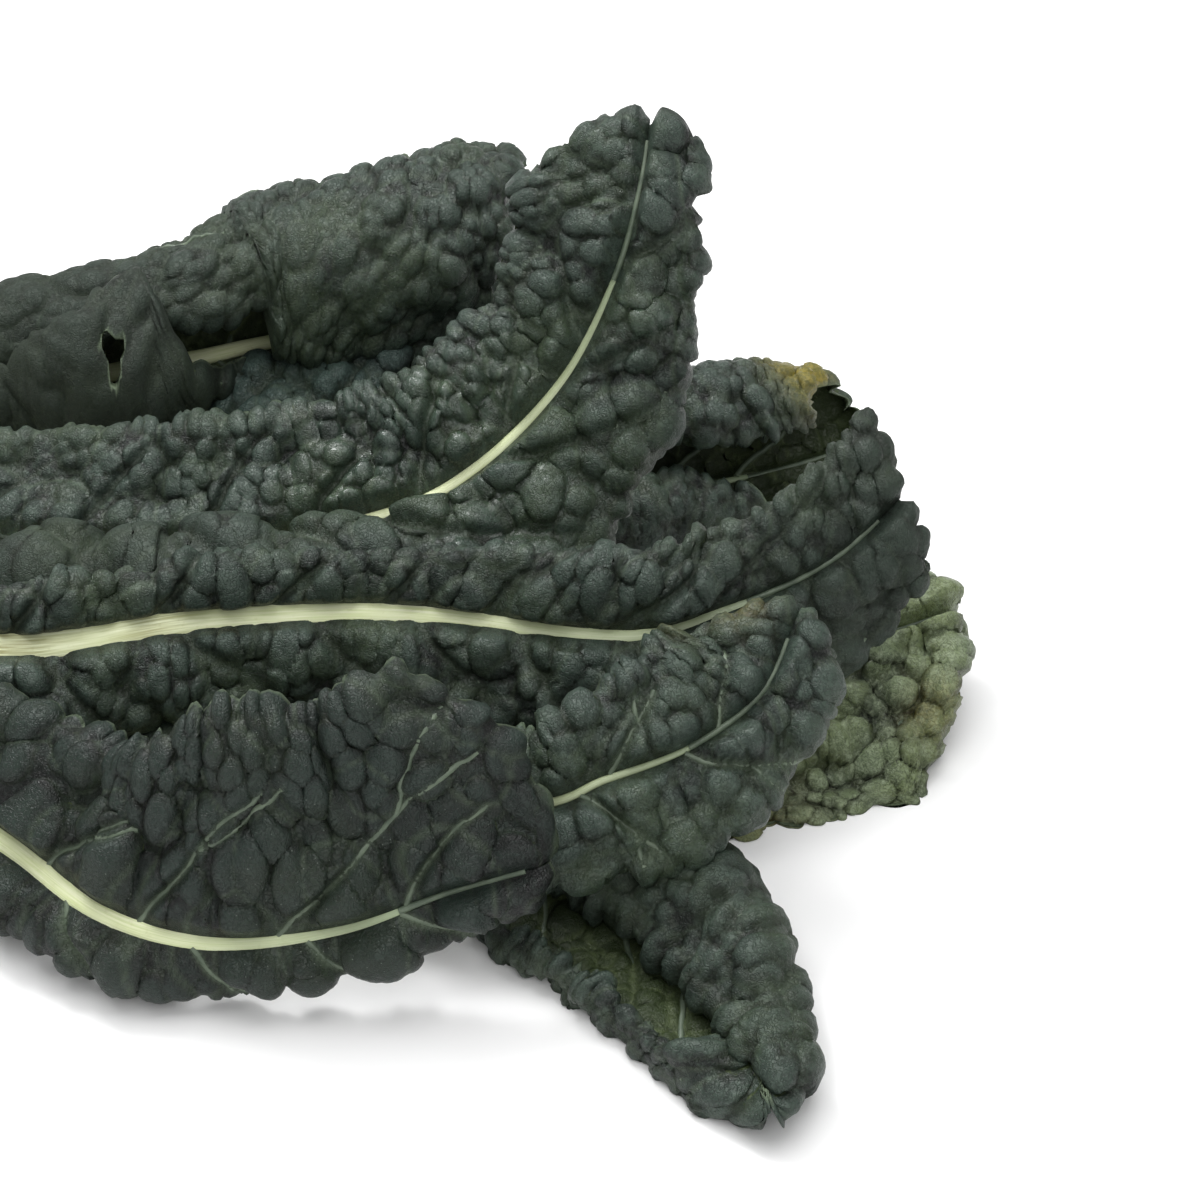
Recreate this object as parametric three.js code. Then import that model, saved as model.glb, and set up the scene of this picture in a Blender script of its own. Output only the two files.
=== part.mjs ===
// A bunch of cavolo nero (lacinato kale): nine loose blistered leaves lying in a heap,
// stalk ends together on the left, tips spread to the right. Millimetres, +Z up.
// Each leaf is two bodies: a pale rib that runs on as the stalk, and the dark blade,
// whose two halves lie either side of the rib and meet past its end.
import * as THREE from 'three';

// ---- Driving dimensions ----
const RIB_HALF_WIDTH = 6;       // at the cut end of the stalk
const RIB_HALF_HEIGHT = 5;
const RIB_END = 0.9;            // share of the leaf's length where the rib stops
const RIB_END_SIZE = 0.16;      // size there, as a share of the cut end
const RIB_SINK = 0.55;          // the rib's middle lies this many half heights below the blade
const RIB_GAP = 0.9;            // clear space between rib and blade
const SLOT_RUN = 0.03;          // past the rib's end, the slot between the halves closes over this share
const BLADE_THICKNESS = 0.9;
const BLISTER_HEIGHT = 2.6;
const NARROWEST_HALF = 4.8;     // half a blade is never narrower than this, except at the tip
const BLADE_START = 0.05;       // share of the length in which a blade widens from the stalk
const TIGHTEST = 20;            // a half narrower than this curls less

// ---- Mesh steps ----
const STATIONS = 28;            // along a blade
const COLUMNS = 5;              // across half a blade
const TURN_STEPS = 24;          // for adding up a half's curl
const RIB_STEPS = 16;
const RIB_SIDES = 6;

// Middle of the heap's footprint in the coordinates of the leaf tables below.
const CENTRE = new THREE.Vector3(-113, -38, 0);

const UPPER_GREEN = 0x3b4a45;
const OLIVE_GREEN = 0x4c5c42;
const RIB_GREEN = 0xcdd8a4;

// ---- The leaves ----
// A row is a station on the rib, from the cut end to the tip:
//   point on the rib, direction that the upper face looks,
//   right half and left half, each as width, lift at the rib and further curl (degrees).
// Right is to the right of someone who walks up the rib on the upper face.
// start: where the blade begins. tip: how far the tip is drawn out, in widths.
// fold: where across a half its curl begins and ends, and how it gathers (1 is even).
// fan: how far the side veins lean on, at the stalk and at the tip, in widths.
const EVEN = [0, 1, 1.5];
const STRAIGHT = [0, 0];

const leaves = [
  {
    name: 'leaf_tall', seed: 3, start: 0.17, tip: 0.8,
    rows: [
      [[-335, -14, 33], [0, -0.2, 1], [0, 0, 0], [0, 0, 0]],
      [[-262, -20, 46], [0, -0.2, 1], [14, 30, -40], [14, 20, 0]],
      [[-188, -33, 48], [0, -0.2, 1], [34, 50, -120], [36, 20, 10]],
      [[-128, -37, 48], [0, -0.3, 1], [38, 50, -120], [40, 20, 10]],
      [[-69, -32, 58], [0, -0.4, 1], [40, 30, -80], [38, 20, 0]],
      [[-39, -23, 70], [-0.1, -0.5, 0.9], [44, 0, -40], [38, 20, -20]],
      [[-12, -7, 92], [-0.35, -0.7, 0.6], [38, 0, -50], [36, 15, -40]],
      [[4, 6, 120], [-0.4, -0.8, 0.4], [28, -5, -50], [38, 10, -50]],
      [[12, 21, 142], [-0.35, -0.85, 0.35], [20, -5, -50], [46, 10, -50]],
      [[16, 45, 158], [-0.2, -0.9, 0.35], [19, -5, -50], [52, 10, -50]],
    ],
  },
  {
    name: 'leaf_long', seed: 5, start: 0.12, tip: 0.3, fan: [[0, -0.12], [0, 0.8]],
    rows: [
      [[-335, -42, 33], [0, -0.2, 1], [0, 0, 0], [0, 0, 0]],
      [[-262, -66, 45], [0, -0.3, 1], [3, 20, 0], [3, 20, 0]],
      [[-178, -92, 55], [0, -0.5, 0.9], [26, -10, -60], [26, 60, -130]],
      [[-119, -82, 57], [0, -0.5, 0.9], [28, -15, -60], [26, 60, -130]],
      [[-60, -76, 55], [0, -0.5, 0.9], [30, -20, -50], [28, 60, -120]],
      [[6, -86, 54], [0, -0.5, 0.9], [30, -20, -50], [30, 50, -90]],
      [[39, -78, 58], [0, -0.55, 0.85], [34, -20, -60], [26, 45, -70]],
      [[69, -66, 66], [-0.1, -0.6, 0.8], [34, -20, -50], [30, 35, -50]],
      [[92, -51, 80], [-0.3, -0.7, 0.7], [22, -20, -50], [30, 20, -30]],
    ],
  },
  {
    // Lies face down, with both margins rolled up over its rib.
    name: 'leaf_back', seed: 7, start: 0.15, tip: 0.4, fold: [[0, 1, 1.1], [0, 1, 1.2]],
    rows: [
      [[-330, 8, 20], [0, 0.2, -1], [0, 0, 0], [0, 0, 0]],
      [[-262, 52, 22], [0, 0.3, -1], [10, -20, 0], [8, -20, 0]],
      [[-210, 78, 27], [0, 0.3, -1], [76, -10, -215], [55, 3, -155]],
      [[-172, 87, 32], [0, 0.3, -1], [74, -10, -220], [84, 3, -172]],
      [[-145, 94, 33], [0, 0.3, -1], [84, -10, -222], [40, 0, -130]],
      [[-116, 108, 32], [0, 0.3, -1], [104, -10, -236], [12, -10, -60]],
      [[-76, 118, 33], [0, 0.3, -1], [136, -10, -262], [22, -40, -80]],
      [[-44, 128, 35], [0, 0.3, -1], [140, -10, -258], [26, -40, -90]],
      [[-12, 138, 38], [0, 0.3, -1], [116, -10, -235], [26, -30, -70]],
    ],
  },
  {
    name: 'leaf_low', seed: 11, start: 0.14, tip: 0.8,
    rows: [
      [[-328, 20, 7], [0, -0.1, 1], [0, 0, 0], [0, 0, 0]],
      [[-255, 36, 7], [0, -0.1, 1], [3, 20, 0], [3, 20, 0]],
      [[-201, 60, 13], [0, -0.2, 1], [24, 10, -30], [24, 20, -30]],
      [[-157, 64, 13], [0, -0.2, 1], [26, 10, -30], [24, 20, -60]],
      [[-105, 63, 26], [0, -0.2, 1], [16, 25, 0], [26, 20, -45]],
      [[-60, 68, 29], [0, -0.2, 1], [16, 25, 0], [32, 24, -45]],
      [[-14, 80, 25], [0, -0.2, 1], [16, 10, 0], [28, 20, -45]],
    ],
  },
  {
    // Face down too: the hollow between its margins shows the smooth underside.
    name: 'leaf_rolled', seed: 13, start: 0.2, tip: 0.35, fold: [[0, 1, 1.1], [0.3, 0.9, 1]],
    rows: [
      [[-322, -12, 2], [0, 0.1, -1], [0, 0, 0], [0, 0, 0]],
      [[-240, 6, 3], [0, 0.1, -1], [3, 0, 0], [3, 0, 0]],
      [[-150, 16, 4], [0, 0.1, -1], [16, -10, -60], [16, -10, -60]],
      [[-60, 28, 4], [0, 0.2, -1], [30, -10, -90], [22, -10, -80]],
      [[0, 47, 5], [0, 0.2, -1], [64, -10, -180], [66, -8, -190]],
      [[35, 56, 6], [0, 0.2, -1], [83, -10, -225], [56, -8, -190]],
      [[63, 64, 8], [0, 0.2, -1], [79, -10, -225], [16, -20, -70]],
      [[92, 70, 14], [0, 0.2, -1], [56, -10, -200], [14, -10, -40]],
    ],
  },
  {
    name: 'leaf_right', seed: 17, start: 0.2, tip: 0.8, fan: [[0, -0.15], STRAIGHT], colour: OLIVE_GREEN,
    rows: [
      [[-325, -45, 6.6], [0, 0, 1], [0, 0, 0], [0, 0, 0]],
      [[-240, -58, 5.8], [0, 0, 1], [3, 0, 0], [3, 0, 0]],
      [[-150, -68, 6], [0, -0.1, 1], [16, 0, 0], [16, 0, 0]],
      [[-60, -74, 8], [0, -0.1, 1], [26, 0, -10], [24, 0, -10]],
      [[6, -76, 14], [0, -0.2, 1], [44, -5, -20], [32, 0, -20]],
      [[63, -58, 18], [0, -0.35, 0.9], [56, -5, -15], [34, 5, -40]],
      [[85, -51, 24], [0.1, -0.35, 0.9], [56, 0, -15], [34, 5, -40]],
      [[115, -38, 26], [0.1, -0.35, 0.9], [44, 0, -15], [34, 5, -40]],
    ],
  },
  {
    name: 'leaf_curl', seed: 19, start: 0.2, tip: 0.8,
    rows: [
      [[-335, -60, 20], [0, -0.1, 1], [0, 0, 0], [0, 0, 0]],
      [[-250, -82, 21], [0, -0.1, 1], [3, 0, 0], [3, 0, 0]],
      [[-170, -98, 23], [0, -0.1, 1], [14, 10, 0], [7, 10, 0]],
      [[-95, -121, 30], [0, -0.3, 1], [18, 0, -20], [7, 20, 0]],
      [[-24, -148, 42], [0, -0.6, 0.8], [22, 0, -30], [18, 20, 0]],
      [[2, -146, 50], [0, -0.6, 0.8], [28, -4, -25], [22, 20, -10]],
      [[27, -137, 55], [-0.1, -0.65, 0.75], [28, -4, -30], [30, 15, -20]],
      [[47, -121, 62], [-0.3, -0.7, 0.6], [22, -10, -50], [34, 10, -30]],
      [[58, -100, 76], [-0.4, -0.75, 0.5], [14, -10, -50], [34, 10, -30]],
    ],
  },
  {
    name: 'leaf_front', seed: 23, start: 0.1, tip: 0.6, fan: [STRAIGHT, [-1, 0.35]],
    rows: [
      [[-340, -90, 20], [0, -0.3, 1], [0, 0, 0], [0, 0, 0]],
      [[-270, -108, 28], [0, -0.4, 0.9], [3, 0, 0], [3, 0, 0]],
      [[-213, -124, 34], [0, -0.6, 0.8], [20, -20, -40], [20, 10, 10]],
      [[-172, -147, 28], [0, -0.7, 0.7], [23, -20, -60], [26, 15, 5]],
      [[-140, -173, 24], [0, -0.7, 0.7], [21, -20, -70], [44, 15, 5]],
      [[-108, -183, 22], [0, -0.75, 0.65], [20, -20, -80], [64, 15, 5]],
      [[-72, -182, 26], [0, -0.75, 0.65], [20, -20, -80], [62, 15, 5]],
      [[-41, -177, 36], [0.1, -0.7, 0.7], [24, -20, -80], [62, 15, 0]],
      [[-12, -175, 45], [0.2, -0.6, 0.7], [24, -20, -60], [60, 10, -20]],
    ],
  },
  {
    // Face down, folded flat over itself.
    name: 'leaf_under', seed: 29, start: 0.22, tip: 0.9, fold: [[0.22, 0.7, 1], [0.35, 0.8, 1]],
    rows: [
      [[-330, -75, 2], [0, 0.1, -1], [0, 0, 0], [0, 0, 0]],
      [[-240, -90, 2], [0, 0.1, -1], [3, 0, 0], [3, 0, 0]],
      [[-150, -106, 2], [0, 0.1, -1], [12, -10, -40], [12, -10, -40]],
      [[-48, -124, 3], [0, 0.2, -1], [20, -30, -60], [24, 0, -60]],
      [[-13, -138, 3], [0.1, 0.2, -1], [56, -10, -185], [50, 0, -150]],
      [[18, -163, 3], [0.1, 0.2, -1], [70, -10, -198], [58, 0, -165]],
      [[34, -192, 3], [0.1, 0.2, -1], [52, -10, -195], [48, 0, -160]],
      [[42, -216, 3], [0.1, 0.2, -1], [38, -10, -180], [36, 0, -145]],
      [[47, -237, 5], [0.1, 0.2, -1], [26, -10, -150], [28, 0, -120]],
    ],
  },
];

// ---- The rib's course and the leaf's surface ----
const clamp01 = (x) => THREE.MathUtils.clamp(x, 0, 1);
const spline = (points) =>
  new THREE.CatmullRomCurve3(points.map((p) => new THREE.Vector3(...p)), false, 'catmullrom', 0.5);

// Splines through the four columns of a leaf's table; a share of the length picks a station.
function leafCourse(leaf) {
  const [path, face, right, left] = [0, 1, 2, 3].map((column) =>
    spline(leaf.rows.map((row) => row[column])));
  path.arcLengthDivisions = 400;
  return { path, face, right, left, length: path.getLength() };
}

// Place and directions of the rib at share u: along it, up from the upper face, to the right.
function ribFrame(course, u) {
  const t = course.path.getUtoTmapping(u);
  const along = course.path.getTangent(t);
  const up = course.face.getPoint(t).projectOnPlane(along).normalize();
  const side = along.clone().cross(up);
  return { t, point: course.path.getPoint(t), along, up, side };
}

// The rib tapers from the cut end to its thin end, as a share of the first size.
function ribScale(u) {
  return RIB_END_SIZE + (1 - RIB_END_SIZE) * clamp01(1 - u / RIB_END) ** 0.8;
}

// A point of the middle surface of one half (hand 1 right, -1 left), and its normal.
// s is the share of the length at the rib and v the share of the half's width.
function bladePoint(leaf, course, s, v, hand) {
  const column = hand > 0 ? 0 : 1;
  const half = hand > 0 ? course.right : course.left;
  const tip = leaf.tip * leaf.rows.at(-1)[2 + column][0] / course.length;
  const nearTip = clamp01((s - 1 + 2.5 * tip) / (2.5 * tip));
  const u = s - tip * v ** 2 * nearTip;

  const frame = ribFrame(course, u);
  const [wide, lift, curl] = half.getPoint(frame.t).toArray();
  const begun = clamp01((u - leaf.start) / BLADE_START) ** 0.7;
  const width = Math.max(wide * begun, NARROWEST_HALF);
  const turn = THREE.MathUtils.degToRad(curl) * Math.min(1, width / TIGHTEST);
  const base = THREE.MathUtils.degToRad(lift);
  const [from, to, gather] = (leaf.fold ?? [EVEN, EVEN])[column];
  const angle = (share) => base + turn * clamp01((share - from) / (to - from)) ** gather;

  const slot = clamp01((RIB_END + SLOT_RUN - u) / SLOT_RUN);
  let out = RIB_HALF_WIDTH * ribScale(u) * slot + (slot > 0 ? RIB_GAP : 0);
  let rise = 0;
  for (let i = 0; i < TURN_STEPS; i++) {
    const a = angle((i + 0.5) / TURN_STEPS * v);
    out += Math.cos(a) * width * v / TURN_STEPS;
    rise += Math.sin(a) * width * v / TURN_STEPS;
  }
  const [leanStalk, leanTip] = (leaf.fan ?? [STRAIGHT, STRAIGHT])[column];
  const lean = (leanStalk + (leanTip - leanStalk) * u) * clamp01((u - leaf.start) / 0.1);
  const point = frame.point
    .addScaledVector(frame.side, hand * out)
    .addScaledVector(frame.up, rise)
    .addScaledVector(frame.along, lean * width * v);
  const end = angle(v);
  const normal = frame.side.multiplyScalar(-hand * Math.sin(end))
    .addScaledVector(frame.up, Math.cos(end));
  return { point, normal, width, u };
}

// ---- Blade: a closed shell over a staggered grid, one blister to each hexagon of cells ----
function seededRandom(seed) {
  let state = seed;
  return () => {
    state = (state * 1664525 + 1013904223) % 4294967296;
    return state / 4294967296;
  };
}

function bladeGeometry(leaf, course) {
  const random = seededRandom(leaf.seed);
  const surface = [];
  const index = new Map();
  const key = (hand, i, j) => `${hand} ${i} ${j}`;
  const station = (i) => {
    const s = clamp01(i / STATIONS);
    return leaf.start + (1 - leaf.start) * (s + 0.45 * s * (1 - s));
  };
  for (const hand of [1, -1]) {
    for (let j = 0; j <= COLUMNS; j++) {
      for (let i = 0; i <= STATIONS; i++) {
        const staggered = j % 2 === 1 && i > 0 && i < STATIONS;
        const s = staggered ? (station(i) + station(i - 1)) / 2 : station(i);
        if (j === 0 && hand < 0 && s >= RIB_END + SLOT_RUN) {
          index.set(key(hand, i, 0), index.get(key(1, i, 0)));
          continue;
        }
        const v = j / COLUMNS;
        const { point, normal, width } = bladePoint(leaf, course, s, v, hand);
        const crown = (i - Math.floor(j / 2) - j + 3 * COLUMNS) % 3 === 0 && j > 0;
        const edge = j === COLUMNS ? 0.8 : 1;
        const full = crown ? 0.75 + 0.5 * random() : -0.25;
        const fade = clamp01((s - leaf.start) / 0.12) * clamp01(width / 25) ** 2 * clamp01(width * v / 6);
        point.addScaledVector(normal, BLISTER_HEIGHT * full * edge * fade);
        index.set(key(hand, i, j), surface.length);
        surface.push({ point, normal });
      }
    }
  }
  const triangles = [];
  for (const hand of [1, -1]) {
    for (let i = 0; i < STATIONS; i++) {
      for (let j = 0; j < COLUMNS; j++) {
        const [a, b, c, d] = [[i, j], [i + 1, j], [i + 1, j + 1], [i, j + 1]]
          .map(([m, n]) => index.get(key(hand, m, n)));
        const pair = j % 2 === 0 ? [[a, b, c], [a, c, d]] : [[a, b, d], [b, c, d]];
        for (const [p, q, r] of pair) triangles.push(hand > 0 ? [p, r, q] : [p, q, r]);
      }
    }
  }
  return closedShell(surface, triangles);
}

// Both faces of a shell share one triangulation, and walls close its open edges.
// What would sink below the table is lifted onto it, both faces together.
function closedShell(surface, triangles) {
  const count = surface.length;
  const upper = [];
  const lower = [];
  for (const { point, normal } of surface) {
    const top = point.clone().addScaledVector(normal, BLADE_THICKNESS / 2);
    const bottom = point.clone().addScaledVector(normal, -BLADE_THICKNESS / 2);
    const lift = Math.max(0, -Math.min(top.z, bottom.z));
    top.z += lift;
    bottom.z += lift;
    upper.push(top);
    lower.push(bottom);
  }
  const edges = new Set(triangles.flatMap(([a, b, c]) => [`${a} ${b}`, `${b} ${c}`, `${c} ${a}`]));
  const faces = [];
  for (const [a, b, c] of triangles) {
    faces.push([a, b, c], [count + a, count + c, count + b]);
    for (const [p, q] of [[a, b], [b, c], [c, a]]) {
      if (edges.has(`${q} ${p}`)) continue;
      faces.push([p, count + p, q], [q, count + p, count + q]);
    }
  }
  return geometryOf([...upper, ...lower], faces);
}

// ---- Rib and stalk: a tapered six-sided bar along the course ----
function ribGeometry(course) {
  const points = [];
  for (let i = 0; i <= RIB_STEPS; i++) {
    const u = RIB_END * i / RIB_STEPS;
    const frame = ribFrame(course, u);
    const scale = ribScale(u);
    for (let k = 0; k < RIB_SIDES; k++) {
      const a = 2 * Math.PI * k / RIB_SIDES;
      const point = frame.point.clone()
        .addScaledVector(frame.side, Math.cos(a) * RIB_HALF_WIDTH * scale)
        .addScaledVector(frame.up, (Math.sin(a) - RIB_SINK) * RIB_HALF_HEIGHT * scale);
      point.z = Math.max(0, point.z);
      points.push(point);
    }
  }
  const faces = [];
  for (let i = 0; i < RIB_STEPS; i++) {
    for (let k = 0; k < RIB_SIDES; k++) {
      const a = i * RIB_SIDES + k;
      const b = i * RIB_SIDES + (k + 1) % RIB_SIDES;
      faces.push([a, a + RIB_SIDES, b], [b, a + RIB_SIDES, b + RIB_SIDES]);
    }
  }
  const last = RIB_STEPS * RIB_SIDES;
  for (let k = 1; k < RIB_SIDES - 1; k++) {
    faces.push([0, k, k + 1], [last, last + k + 1, last + k]);
  }
  return geometryOf(points, faces);
}

// ---- Meshes ----
function geometryOf(points, faces) {
  const geometry = new THREE.BufferGeometry();
  geometry.setAttribute('position', new THREE.Float32BufferAttribute(
    points.flatMap((p) => p.clone().sub(CENTRE).toArray()), 3));
  geometry.setIndex(faces.flat());
  return geometry;
}

function namedMesh(name, geometry, colour, roughness) {
  const material = new THREE.MeshStandardMaterial(
    { color: colour, roughness, metalness: 0, flatShading: true });
  const mesh = new THREE.Mesh(geometry, material);
  mesh.name = name;
  return mesh;
}

const bunch = new THREE.Group();
for (const leaf of leaves) {
  const course = leafCourse(leaf);
  bunch.add(
    namedMesh(`${leaf.name}_blade`, bladeGeometry(leaf, course), leaf.colour ?? UPPER_GREEN, 0.55),
    namedMesh(`${leaf.name}_stem`, ribGeometry(course), RIB_GREEN, 0.45),
  );
}

export default bunch;
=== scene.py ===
import math

import bpy
import numpy as np
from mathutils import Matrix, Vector


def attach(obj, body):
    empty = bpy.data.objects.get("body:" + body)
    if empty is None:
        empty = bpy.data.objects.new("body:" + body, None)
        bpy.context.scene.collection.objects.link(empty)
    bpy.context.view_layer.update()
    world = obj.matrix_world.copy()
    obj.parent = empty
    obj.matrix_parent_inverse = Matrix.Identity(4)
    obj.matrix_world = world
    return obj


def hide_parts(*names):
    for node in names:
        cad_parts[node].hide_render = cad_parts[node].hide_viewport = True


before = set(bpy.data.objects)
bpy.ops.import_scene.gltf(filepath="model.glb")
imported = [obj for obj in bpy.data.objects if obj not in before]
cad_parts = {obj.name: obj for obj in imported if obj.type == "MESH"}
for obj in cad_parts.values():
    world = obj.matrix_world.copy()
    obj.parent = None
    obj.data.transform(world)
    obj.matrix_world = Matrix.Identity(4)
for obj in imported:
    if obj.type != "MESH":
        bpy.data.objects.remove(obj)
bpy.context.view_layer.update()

# ---- Sizes, in millimetres until a mesh is made ----
MM = 0.001
CENTRE = np.array([-113.0, -38.0, 0.0])  # middle of the heap in the leaf tables
RIB_HALF_WIDTH = 6.0                     # at the cut end of the stalk
RIB_HALF_HEIGHT = 5.0
RIB_END = 0.9                            # share of the leaf's length
RIB_END_SIZE = 0.16                      # its thickness there, of that at the cut end
RIB_SINK = 0.42                          # how deep it lies in the blade, in half heights
RIB_GAP = 0.9                            # between the rib's side and the blade
NARROWEST_HALF = 4.8                     # of a blade
BLADE_START = 0.05                       # share of the length over which it widens
TIGHTEST = 20.0                          # a half narrower than this curls less
TURN_STEPS = 20                          # of the sum that walks across a curled half
SKIN = 0.35                              # half the blade's thickness
GRID = 1.03                              # between the blade mesh's points, twice that near the stalk
STALK_END = -212.0                       # where that coarser part ends, along the table
MARGIN = 6.0                             # the margin rolls under over this width
MARGIN_ROLL = 3.5                        # at this radius
DOME_REACH = 0.72                        # a blister's radius for its spacing
RAGGED = 90                              # nicks along a torn margin
VEIN_STEP = 2.5                          # between the points of a side vein
PROUD, SUNK = 0.2, 1.2                   # how deep strong and weak side veins lie
STRONG = 0.65                            # a leaf's vein value above which they are strong

# ---- The leaves ----
# A row is a station on the rib from the cut end to the tip: point, the way the upper face
# looks, right half and left half as [width, lift at the rib, further curl in degrees].
# start: share of the length where the blade begins. tip: how far it is drawn out, in widths.
# fold: where across a half its curl begins and ends, and its gathering.
# fan: how far the side veins lean on at stalk and tip, in widths.
EVEN = [0, 1, 1.5]
STRAIGHT = [0, 0]

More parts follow.
